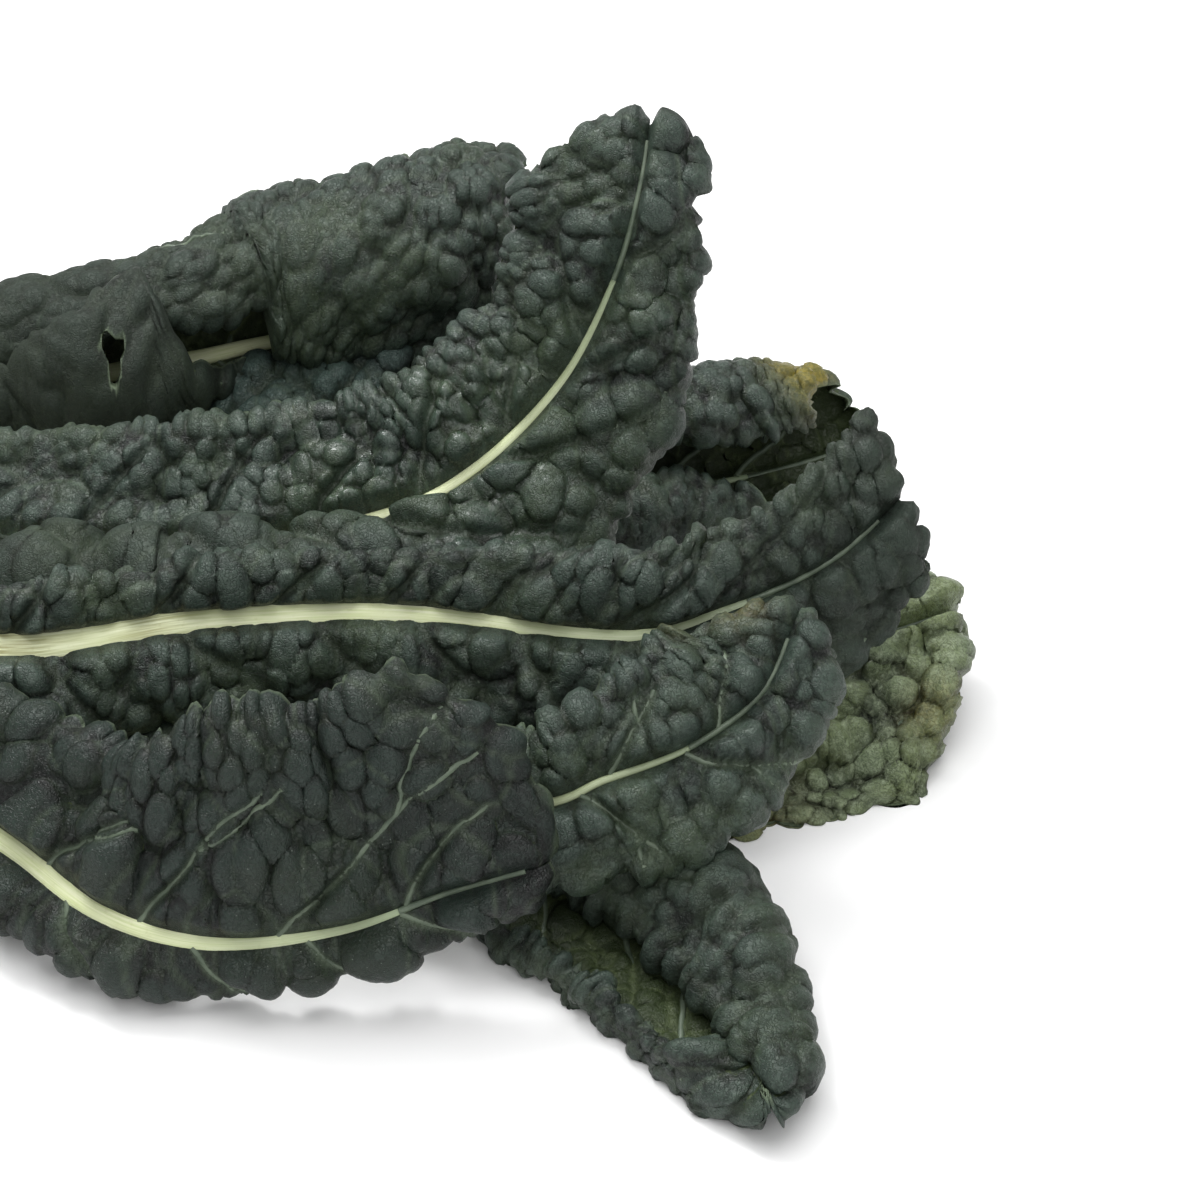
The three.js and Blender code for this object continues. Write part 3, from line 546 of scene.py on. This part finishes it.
def shell_faces(keep, flip):
    """Faces of a closed shell over a grid of kept cells: both sides and the walls between."""
    rows, columns = keep.shape
    index = np.arange((rows + 1) * (columns + 1)).reshape(rows + 1, columns + 1)
    corners = np.stack([index[:-1, :-1], index[1:, :-1], index[1:, 1:], index[:-1, 1:]], -1)
    if flip:
        corners = corners[..., ::-1]
    count = index.size
    kept = corners[keep]
    faces = [kept, kept[:, ::-1] + count]
    padded = np.pad(keep, 1)
    neighbours = [(1, 0), (2, 1), (1, 2), (0, 1)]
    for k, (i, j) in enumerate(neighbours):
        bare = keep & ~padded[i:i + rows, j:j + columns]
        a, b = ((2 - k) % 4, (3 - k) % 4) if flip else (k, (k + 1) % 4)
        p, q = corners[bare][:, a], corners[bare][:, b]
        faces.append(np.stack([p, p + count, q + count, q], -1))
    return np.vstack(faces)


def spots(leaf, hand, x, y, kind):
    """How strongly the leaf's spots of a kind mark each flat point."""
    mark = np.zeros(len(x))
    for side, share, across, radius, strength in leaf.looks.get(kind, ()):
        if side == hand:
            far = np.hypot(x - share * leaf.length, y - across) / radius
            mark = np.maximum(mark, strength * np.exp(-far**2))
    return mark


def tip_pull(leaf, hand, v):
    """How far back from the tip each share across starts, and where that begins."""
    return leaf.tip_share(hand) * v**2, 2.5 * leaf.tip_share(hand)


def cut_hole(leaf, x, y, inside, hole):
    """Draw the points within a ragged hole out to its edge; mark them and what they enclose."""
    hand, share, across, long, wide = hole
    dx, dy = (x - share * leaf.length) / long, (y - across) / wide
    turn = np.arctan2(dy, dx)
    far = np.hypot(dx, dy) / (1 + 0.3 * np.sin(3 * turn + share * 50) + 0.16 * np.sin(5 * turn + across))
    within = far < 1
    pull = np.where(within, 1 / np.maximum(far, 0.05), 1)
    inside |= within
    return share * leaf.length + dx * long * pull, across + dy * wide * pull


def blade(leaf):
    points, faces, patterns, offset = [], [], [], 0
    for hand in (1, -1):
        half = leaf.halves[hand]
        stalk_end = np.interp(STALK_END, leaf.rows[:, 0], np.linspace(0, 1, len(leaf.rows)))
        turn = max(leaf.start + 0.01, np.interp(stalk_end, leaf.shares, leaf.run) / leaf.length)
        stations = np.concatenate([
            np.linspace(leaf.start, turn, int((turn - leaf.start) * leaf.length / (2 * GRID)) + 1)[:-1],
            np.linspace(turn, 1, int((1 - turn) * leaf.length / GRID))])
        rows = len(stations) - 1
        columns = int(np.percentile(leaf.width(np.linspace(leaf.start, 1, 40), hand), 75) / GRID)
        s, v = np.meshgrid(stations, np.linspace(0, 1, columns + 1), indexing="ij")
        s, v = s.ravel(), v.ravel()
        back, near = tip_pull(leaf, hand, v)
        u = s - back * np.clip((s - 1 + near) / near, 0, 1)
        v = v * half.reach(u)
        x, y, width = u * leaf.length, v * leaf.width(u, hand), leaf.width(u, hand)
        holed = np.zeros(len(u), bool)
        for hole in leaf.looks.get("hole", ()):
            if hole[0] == hand:
                x, y = cut_hole(leaf, x, y, holed, hole)
        u, v = x / leaf.length, y / width
        middle, normal, rise, edge, dome_shading, vein, (x, y) = half.place(u, v, s)
        grid = holed.reshape(rows + 1, columns + 1)
        keep = ~(grid[:-1, :-1] & grid[1:, :-1] & grid[1:, 1:] & grid[:-1, 1:])
        sunk = 0.55 * np.maximum(rise, 0) * smooth(edge, 2, 9)   # the underside is smoother
        upper = middle + normal * SKIN
        lower = middle - normal * (SKIN + sunk)[:, None]
        lift = np.maximum(0, 0.05 - np.minimum(upper[:, 2], lower[:, 2]))
        upper[:, 2] += lift
        lower[:, 2] += lift
        count = len(u)
        border = np.zeros((rows + 1, columns + 1))
        border[:, -1] = border[-1, :] = 1
        border[grid] = 1
        shared = dict(dome_shading=dome_shading, vein=vein, rim=border.ravel(),
                      shaded=spots(leaf, hand, x, y, "shaded"),
                      yellow=spots(leaf, hand, x, y, "yellow"), wet=spots(leaf, hand, x, y, "wet"))
        faces.append(shell_faces(keep, hand > 0) + offset)
        points += [upper, lower]
        for under in (0.0, 1.0):
            patterns.append(dict(shared, under=np.full(count, under)))
        offset += 2 * count
    merged = {key: np.concatenate([p[key] for p in patterns]) for key in patterns[0]}
    return mesh_object(leaf.name + "_frond", np.vstack(points), np.vstack(faces), merged)


def rib(leaf):
    """The rib and stalk: flattened on top, tapering from the cut end."""
    steps, around = int(leaf.length * RIB_END / 3), 20
    u = np.linspace(0, RIB_END, steps + 1)
    row, _, up, right = leaf.frame(u)
    scale = rib_scale(u)[:, None, None]
    a = 2 * math.pi * np.arange(around) / around
    tall = np.where(np.sin(a) > 0, 0.86 * np.abs(np.sin(a)) ** 0.75, np.sin(a))
    wide = RIB_HALF_WIDTH * leaf.looks.get("stout", 1.06)
    ring = (right[:, None] * (np.cos(a) * wide)[None, :, None]
            + up[:, None] * (tall - RIB_SINK)[None, :, None] * RIB_HALF_HEIGHT)
    points = row[:, None, :3] + ring * scale
    points[..., 2] = np.maximum(points[..., 2], 0.05)
    index = np.arange((steps + 1) * around).reshape(steps + 1, around)
    turned = np.roll(index, -1, 1)
    faces = [np.stack([index[:-1], index[1:], turned[1:], turned[:-1]], -1).reshape(-1, 4)]
    ends = [points[0].mean(0), points[-1].mean(0)]
    flat = np.vstack([points.reshape(-1, 3), ends])
    first, last = index.size, index.size + 1
    for k in range(0, around, 2):
        m, n = (k + 1) % around, (k + 2) % around
        faces.append([[first, index[0, k], index[0, m], index[0, n]]])
        faces.append([[last, index[-1, n], index[-1, m], index[-1, k]]])
    share = np.append(np.repeat(u, around), [0, RIB_END])
    side = np.append(np.tile(a, steps + 1), [0, 0])
    stain = np.zeros(len(share))
    for centre, spread, strength in leaf.looks.get("stain", ()):
        stain = np.maximum(stain, strength * np.exp(-((share - centre) / spread) ** 2))
    return mesh_object(leaf.name + "_rib", flat, np.vstack(faces),
                       dict(share=share + leaf.looks.get("greener", 0), side=side, stain=stain))


# ---- Side veins: tubes swept along the flat lines where they lie on the swollen blade ----
def vein_lines(leaf):
    """Points, neighbour pairs and radii (mm) of all the veins of a leaf. A strong vein stands
    out of both faces, a weak one only out of the underside."""
    points, pairs, radii = [], [], []
    for hand in (1, -1):
        half = leaf.halves[hand]
        for line in half.veins:
            flat = np.array(line)
            u = np.clip(flat[:, 0] / leaf.length, 0, 0.999)
            v = np.clip(flat[:, 1] / leaf.width(u, hand), 0, 0.95)
            back, near = tip_pull(leaf, hand, v)
            s = u + back * np.clip((u - 1 + near) / near, 0, 1)
            past = np.flatnonzero((s > 0.97) | (v > 0.9 * half.reach(u)))
            kept = past[0] if len(past) else len(s)
            if kept < 3:
                continue
            flat, u, v, s = flat[:kept], u[:kept], v[:kept], s[:kept]
            middle, normal = half.place(u, v, s)[:2]
            radius = 0.2 + 0.3 * leaf.looks["vein"] * flat[:, 2] * (1.15 - 0.6 * u)
            if flat[0, 1] == 0:
                radius = radius + 0.55 * np.exp(-flat[:, 1] / 3)
            first = sum(map(len, points))
            points.append(middle - normal * (PROUD if leaf.looks["vein"] > STRONG else SUNK))
            radii.append(radius)
            pairs += [(first + i, first + i + 1) for i in range(len(flat) - 1)]
    u = np.linspace(RIB_END - 0.03, 0.975, 24)
    row, _, up, _ = leaf.frame(u)
    first = sum(map(len, points))
    points.append(row[:, :3] + up * 0.2)
    radii.append(np.linspace(0.9, 0.3, len(u)))
    pairs += [(first + i, first + i + 1) for i in range(len(u) - 1)]
    points, radii = np.vstack(points), np.concatenate(radii)
    points[:, 2] = np.maximum(points[:, 2], 2 * radii + 0.3)
    return points, pairs, radii




def add_node(tree, kind, sockets=(), **settings):
    """One node with its settings; a socket's value may be another node's output."""
    made = tree.nodes.new(kind)
    for name, value in settings.items():
        setattr(made, name, value)
    for key, value in dict(sockets).items():
        if isinstance(value, bpy.types.NodeSocket):
            tree.links.new(value, made.inputs[key])
        else:
            made.inputs[key].default_value = value
    return made


def sweep_tree():
    """Geometry Nodes that sweep a round section along lines, as thick as their radius says."""
    tree = bpy.data.node_groups.new("vein_sweep", "GeometryNodeTree")
    face = tree.interface
    face.new_socket("Lines", in_out="INPUT", socket_type="NodeSocketGeometry")
    face.new_socket("Section sides", in_out="INPUT", socket_type="NodeSocketInt")
    face.new_socket("Finish", in_out="INPUT", socket_type="NodeSocketMaterial")
    face.new_socket("Veins", in_out="OUTPUT", socket_type="NodeSocketGeometry")
    source = add_node(tree, "NodeGroupInput")
    curve = add_node(tree, "GeometryNodeMeshToCurve", {0: source.outputs["Lines"]})
    thick = add_node(tree, "GeometryNodeInputNamedAttribute", {"Name": "thick"}, data_type="FLOAT")
    sized = add_node(tree, "GeometryNodeSetCurveRadius",
                     {"Curve": curve.outputs[0], "Radius": thick.outputs["Attribute"]})
    section = add_node(tree, "GeometryNodeCurvePrimitiveCircle",
                       {"Resolution": source.outputs["Section sides"], "Radius": MM})
    swept = add_node(tree, "GeometryNodeCurveToMesh",
                     {"Curve": sized.outputs[0], "Profile Curve": section.outputs[0], "Fill Caps": True})
    soft = add_node(tree, "GeometryNodeSetShadeSmooth", {0: swept.outputs[0]})
    real = add_node(tree, "GeometryNodeRealizeInstances", {0: soft.outputs[0]})
    painted = add_node(tree, "GeometryNodeSetMaterial",
                       {"Geometry": real.outputs[0], "Material": source.outputs["Finish"]})
    add_node(tree, "NodeGroupOutput", {0: painted.outputs[0]})
    return tree


def grown_by(tree, base, name, settings):
    """The plain mesh that a node tree makes of an object."""
    modifier = base.modifiers.new("grow", "NODES")
    modifier.node_group = tree
    for item in tree.interface.items_tree:
        if item.item_type == "SOCKET" and item.in_out == "INPUT" and item.name in settings:
            modifier[item.identifier] = settings[item.name]
    evaluated = base.evaluated_get(bpy.context.evaluated_depsgraph_get())
    mesh = bpy.data.meshes.new_from_object(evaluated)
    mesh.name = name
    base.modifiers.remove(modifier)
    bpy.data.objects.remove(base)
    made = bpy.data.objects.new(name, mesh)
    bpy.context.scene.collection.objects.link(made)
    return made


def veins(leaf, tree, finish):
    points, pairs, radii = vein_lines(leaf)
    mesh = bpy.data.meshes.new("lines")
    mesh.from_pydata(metres(points).tolist(), pairs, [])
    mesh.attributes.new("thick", "FLOAT", "POINT").data.foreach_set("value", radii.astype(np.float32))
    base = bpy.data.objects.new("lines", mesh)
    bpy.context.scene.collection.objects.link(base)
    return grown_by(tree, base, leaf.name + "_veins", {"Section sides": 6, "Finish": finish})


# ---- Finishes ----
def paint(hex_colour):
    """An sRGB hex colour as linear red, green, blue and alpha."""
    parts = [int(hex_colour[i:i + 2], 16) / 255 for i in (1, 3, 5)]
    return [c / 12.92 if c <= 0.04045 else ((c + 0.055) / 1.055) ** 2.4 for c in parts] + [1.0]


def new_finish(name):
    material = bpy.data.materials.new(name)
    material.use_nodes = True
    tree = material.node_tree
    return material, tree, tree.nodes["Principled BSDF"]


def mixed(tree, factor, under, over, blend="MIX"):
    made = add_node(tree, "ShaderNodeMix", data_type="RGBA", blend_type=blend)
    for socket, value in ((0, factor), (6, under), (7, over)):
        if isinstance(value, bpy.types.NodeSocket):
            tree.links.new(value, made.inputs[socket])
        else:
            made.inputs[socket].default_value = value
    return made.outputs[2]


def ranged(tree, value, low, high, to_low=0.0, to_high=1.0):
    return add_node(tree, "ShaderNodeMapRange", {0: value, 1: low, 2: high, 3: to_low, 4: to_high}
                    ).outputs[0]


def multiplied(tree, a, b):
    return add_node(tree, "ShaderNodeMath", {0: a, 1: b}, operation="MULTIPLY").outputs[0]


def pattern(tree, name):
    return add_node(tree, "ShaderNodeAttribute", attribute_name=name).outputs["Fac"]


def waxy_leaf(name, dome, crease, bloom, olive):
    """Leaf skin under a thin wax: painted shade darkening the creases, dull grey-green domes with tops
    paler as painted light, olive and bloomed patches, pale specks, a net of small veins, darker spots of
    painted shade, and where it is wet a clear gloss."""
    material, tree, skin = new_finish(name)
    place = add_node(tree, "ShaderNodeTexCoord").outputs["Object"]
    patches = add_node(tree, "ShaderNodeTexNoise",
                       {"Vector": place, "Scale": 38.0, "Detail": 3.0}).outputs[0]
    mottle = add_node(tree, "ShaderNodeTexNoise",
                      {"Vector": place, "Scale": 700.0, "Detail": 5.0, "Roughness": 0.65}).outputs[0]
    scuffs = add_node(tree, "ShaderNodeTexNoise",
                      {"Vector": place, "Scale": 240.0, "Detail": 6.0, "Roughness": 0.75}).outputs[0]
    bent = mixed(tree, 0.012, place, add_node(
        tree, "ShaderNodeTexNoise", {"Vector": place, "Scale": 300.0, "Detail": 2.0}).outputs[1], "ADD")
    net = add_node(tree, "ShaderNodeTexVoronoi", {"Vector": bent, "Scale": 430.0},
                   feature="DISTANCE_TO_EDGE").outputs[0]
    specks = add_node(tree, "ShaderNodeTexVoronoi", {"Vector": place, "Scale": 520.0}).outputs[0]
    dome_shading, under = pattern(tree, "dome_shading"), pattern(tree, "under")
    # painted shade: creases and vein grooves take the dark crease colour, blister tops the paler dome
    # colour as painted light
    colour = mixed(tree, ranged(tree, dome_shading, 0.1, 0.75), paint(crease), paint(dome))
    colour = mixed(tree, ranged(tree, patches, 0.45, 0.68, 0.0, 0.8), colour, paint(olive))
    colour = mixed(tree, ranged(tree, scuffs, 0.46, 0.7, 0.0, 0.75), colour, paint(bloom))
    colour = mixed(tree, ranged(tree, net, 0.0, 0.09, 0.5, 0.0), colour, paint(crease))
    dusted = multiplied(tree, ranged(tree, specks, 0.05, 0.12, 0.6, 0.0),
                        ranged(tree, patches, 0.4, 0.6))
    colour = mixed(tree, dusted, colour, paint("#8a948a"))
    colour = mixed(tree, multiplied(tree, pattern(tree, "vein"), 0.6), colour, paint("#6f7f66"))
    # painted shade: the shaded spots darken towards a near-black green
    colour = mixed(tree, multiplied(tree, pattern(tree, "shaded"), 0.85), colour, paint("#1a2318"))
    old = multiplied(tree, pattern(tree, "yellow"), ranged(tree, scuffs, 0.3, 0.6, 0.45, 1.0))
    colour = mixed(tree, old, colour, mixed(tree, ranged(tree, mottle, 0.4, 0.6), paint("#6f6a2c"),
                                            paint("#9a8b3c")))
    below = mixed(tree, ranged(tree, patches, 0.35, 0.65), paint("#28321f"), paint("#3a4629"))
    below = mixed(tree, multiplied(tree, pattern(tree, "vein"), 0.9), below, paint("#76845a"))
    colour = mixed(tree, under, colour, below)
    colour = mixed(tree, multiplied(tree, pattern(tree, "rim"), 0.5), colour, paint("#7f8f74"))
    tree.links.new(colour, skin.inputs["Base Color"])
    skin.inputs["Specular IOR Level"].default_value = 0.35
    dry = ranged(tree, mottle, 0.3, 0.7, 0.3, 0.55)
    dry = add_node(tree, "ShaderNodeMath", {0: dry, 1: multiplied(tree, pattern(tree, "shaded"), 0.3)},
                   operation="ADD").outputs[0]
    film = multiplied(tree, pattern(tree, "wet"), ranged(tree, scuffs, 0.42, 0.56))
    rough = add_node(tree, "ShaderNodeMix", {0: film, 2: dry, 3: 0.08}, data_type="FLOAT").outputs[0]
    tree.links.new(rough, skin.inputs["Roughness"])
    grain = mixed(tree, 0.5, mottle, mixed(tree, 0.5, scuffs, ranged(tree, net, 0.0, 0.14)))
    bump = add_node(tree, "ShaderNodeBump", {"Strength": ranged(tree, film, 0.0, 1.0, 0.7, 0.12),
                                               "Distance": 0.0009, "Height": grain})
    tree.links.new(bump.outputs[0], skin.inputs["Normal"])
    return material


def fleshy_rib(name, pale, green, streak):
    """The juicy rib: pale and smooth with long fibres, greener and duller towards its end."""
    material, tree, skin = new_finish(name)
    place = add_node(tree, "ShaderNodeTexCoord").outputs["Object"]
    share, side = pattern(tree, "share"), pattern(tree, "side")
    fibres = add_node(tree, "ShaderNodeCombineXYZ",
                      {0: multiplied(tree, side, 2.2), 1: multiplied(tree, share, 7.0)}).outputs[0]
    long_noise = add_node(tree, "ShaderNodeTexNoise",
                          {"Vector": fibres, "Scale": 3.0, "Detail": 4.0}).outputs[0]
    fine = add_node(tree, "ShaderNodeTexNoise",
                    {"Vector": place, "Scale": 420.0, "Detail": 3.0}).outputs[0]
    colour = mixed(tree, ranged(tree, long_noise, 0.35, 0.65), paint(pale), paint(green))
    colour = mixed(tree, ranged(tree, fine, 0.62, 0.75, 0.0, 0.35), colour, paint(streak))
    bruise = multiplied(tree, pattern(tree, "stain"), ranged(tree, long_noise, 0.4, 0.6))
    colour = mixed(tree, bruise, colour, paint("#8a7a4a"))
    colour = mixed(tree, ranged(tree, share, 0.66, 0.9), colour, paint("#8fa080"))
    tree.links.new(colour, skin.inputs["Base Color"])
    skin.inputs["Roughness"].default_value = 0.38
    bump = add_node(tree, "ShaderNodeBump", {"Strength": 0.25, "Distance": 0.0004, "Height": long_noise})
    tree.links.new(bump.outputs[0], skin.inputs["Normal"])
    return material


def plain_finish(name, colour, roughness, variation=None):
    material, tree, skin = new_finish(name)
    if variation:
        place = add_node(tree, "ShaderNodeTexCoord").outputs["Object"]
        noise = add_node(tree, "ShaderNodeTexNoise",
                         {"Vector": place, "Scale": 200.0, "Detail": 3.0}).outputs[0]
        tree.links.new(mixed(tree, ranged(tree, noise, 0.35, 0.65), paint(colour), paint(variation)),
                       skin.inputs["Base Color"])
    else:
        skin.inputs["Base Color"].default_value = paint(colour)
    skin.inputs["Roughness"].default_value = roughness
    return material


# colours of a finish: dome (paler, painted light on blister tops), crease (painted shade), bloom, olive
finishes = {
    "dark": waxy_leaf("waxy_blue_green_leaf", "#35423a", "#0b100d", "#4e5c52", "#384531"),
    "deep": waxy_leaf("waxy_deep_green_leaf", "#232f29", "#080b09", "#2e3a34", "#252f23"),
    "blue": waxy_leaf("waxy_blue_leaf", "#3f504b", "#111816", "#566863", "#3f4f44"),
    "olive": waxy_leaf("waxy_olive_leaf", "#677558", "#0d1209", "#98a588", "#6d7950"),
}
rib_flesh = fleshy_rib("pale_rib_flesh", "#edf2cb", "#d5dfa6", "#c0c486")
vein_flesh = plain_finish("green_vein_flesh", "#65725f", 0.5, "#4d5a4a")
table_top = plain_finish("white_card", "#f4f4f4", 0.9)

# ---- The bunch ----
vein_tree = sweep_tree()
for table in LEAVES:
    leaf = Leaf(**table)
    leaf.halves = {hand: Half(leaf, hand) for hand in (1, -1)}
    frond, stalk = blade(leaf), rib(leaf)
    frond.data.materials.append(finishes[leaf.looks["finish"]])
    stalk.data.materials.append(rib_flesh)
    net = veins(leaf, vein_tree, vein_flesh)
    for piece, slot in ((frond, "blade_olive" if leaf.looks["finish"] == "olive" else "blade_dark"),
                        (stalk, "rib"), (net, "rib")):
        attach(piece, "root")
    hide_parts(leaf.name + "_blade")
    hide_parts(leaf.name + "_stem")

# ---- Table, light and camera ----
floor = mesh_object("table_top", np.array([[-6000.0, -6000, 0], [6000, -6000, 0], [6000, 6000, 0],
                                           [-6000, 6000, 0]]) + CENTRE, np.array([[0, 1, 2, 3]]))
floor.data.materials.append(table_top)

world = bpy.data.worlds.new("white_room")
bpy.context.scene.world = world
world.use_nodes = True
world.node_tree.nodes["Background"].inputs[0].default_value = (1, 1, 1, 1)
world.node_tree.nodes["Background"].inputs[1].default_value = 0.36

AIM = Vector((0.113, 0.038, 0.0))
for name, way, size, energy in (("softbox", (-0.1, 0.3, 1.3), 1.7, 23.0),
                                ("front_fill", (0.25, -1.1, 1.1), 1.2, 7.0),
                                ("small_lamp", (-0.5, 0.55, 1.15), 0.35, 8.0)):
    lamp = bpy.data.lights.new(name, "AREA")
    lamp.size, lamp.energy = size, energy
    softbox = bpy.data.objects.new(name, lamp)
    softbox.location = AIM + Vector(way)
    softbox.rotation_euler = (AIM - softbox.location).to_track_quat("-Z", "Y").to_euler()
    bpy.context.scene.collection.objects.link(softbox)

CAMERA_DISTANCE = 0.945
CAMERA_HEIGHT = math.radians(38)
lens = bpy.data.cameras.new("camera")
lens.lens = 85.0
lens.clip_start, lens.clip_end = 0.05, 20.0
camera = bpy.data.objects.new("camera", lens)
camera.location = AIM + CAMERA_DISTANCE * Vector((0, -math.cos(CAMERA_HEIGHT), math.sin(CAMERA_HEIGHT)))
camera.rotation_euler = (math.radians(90) - CAMERA_HEIGHT, 0, 0)
bpy.context.scene.collection.objects.link(camera)
bpy.context.scene.camera = camera
bpy.context.scene.view_settings.view_transform = "Standard"

bpy.context.view_layer.update()
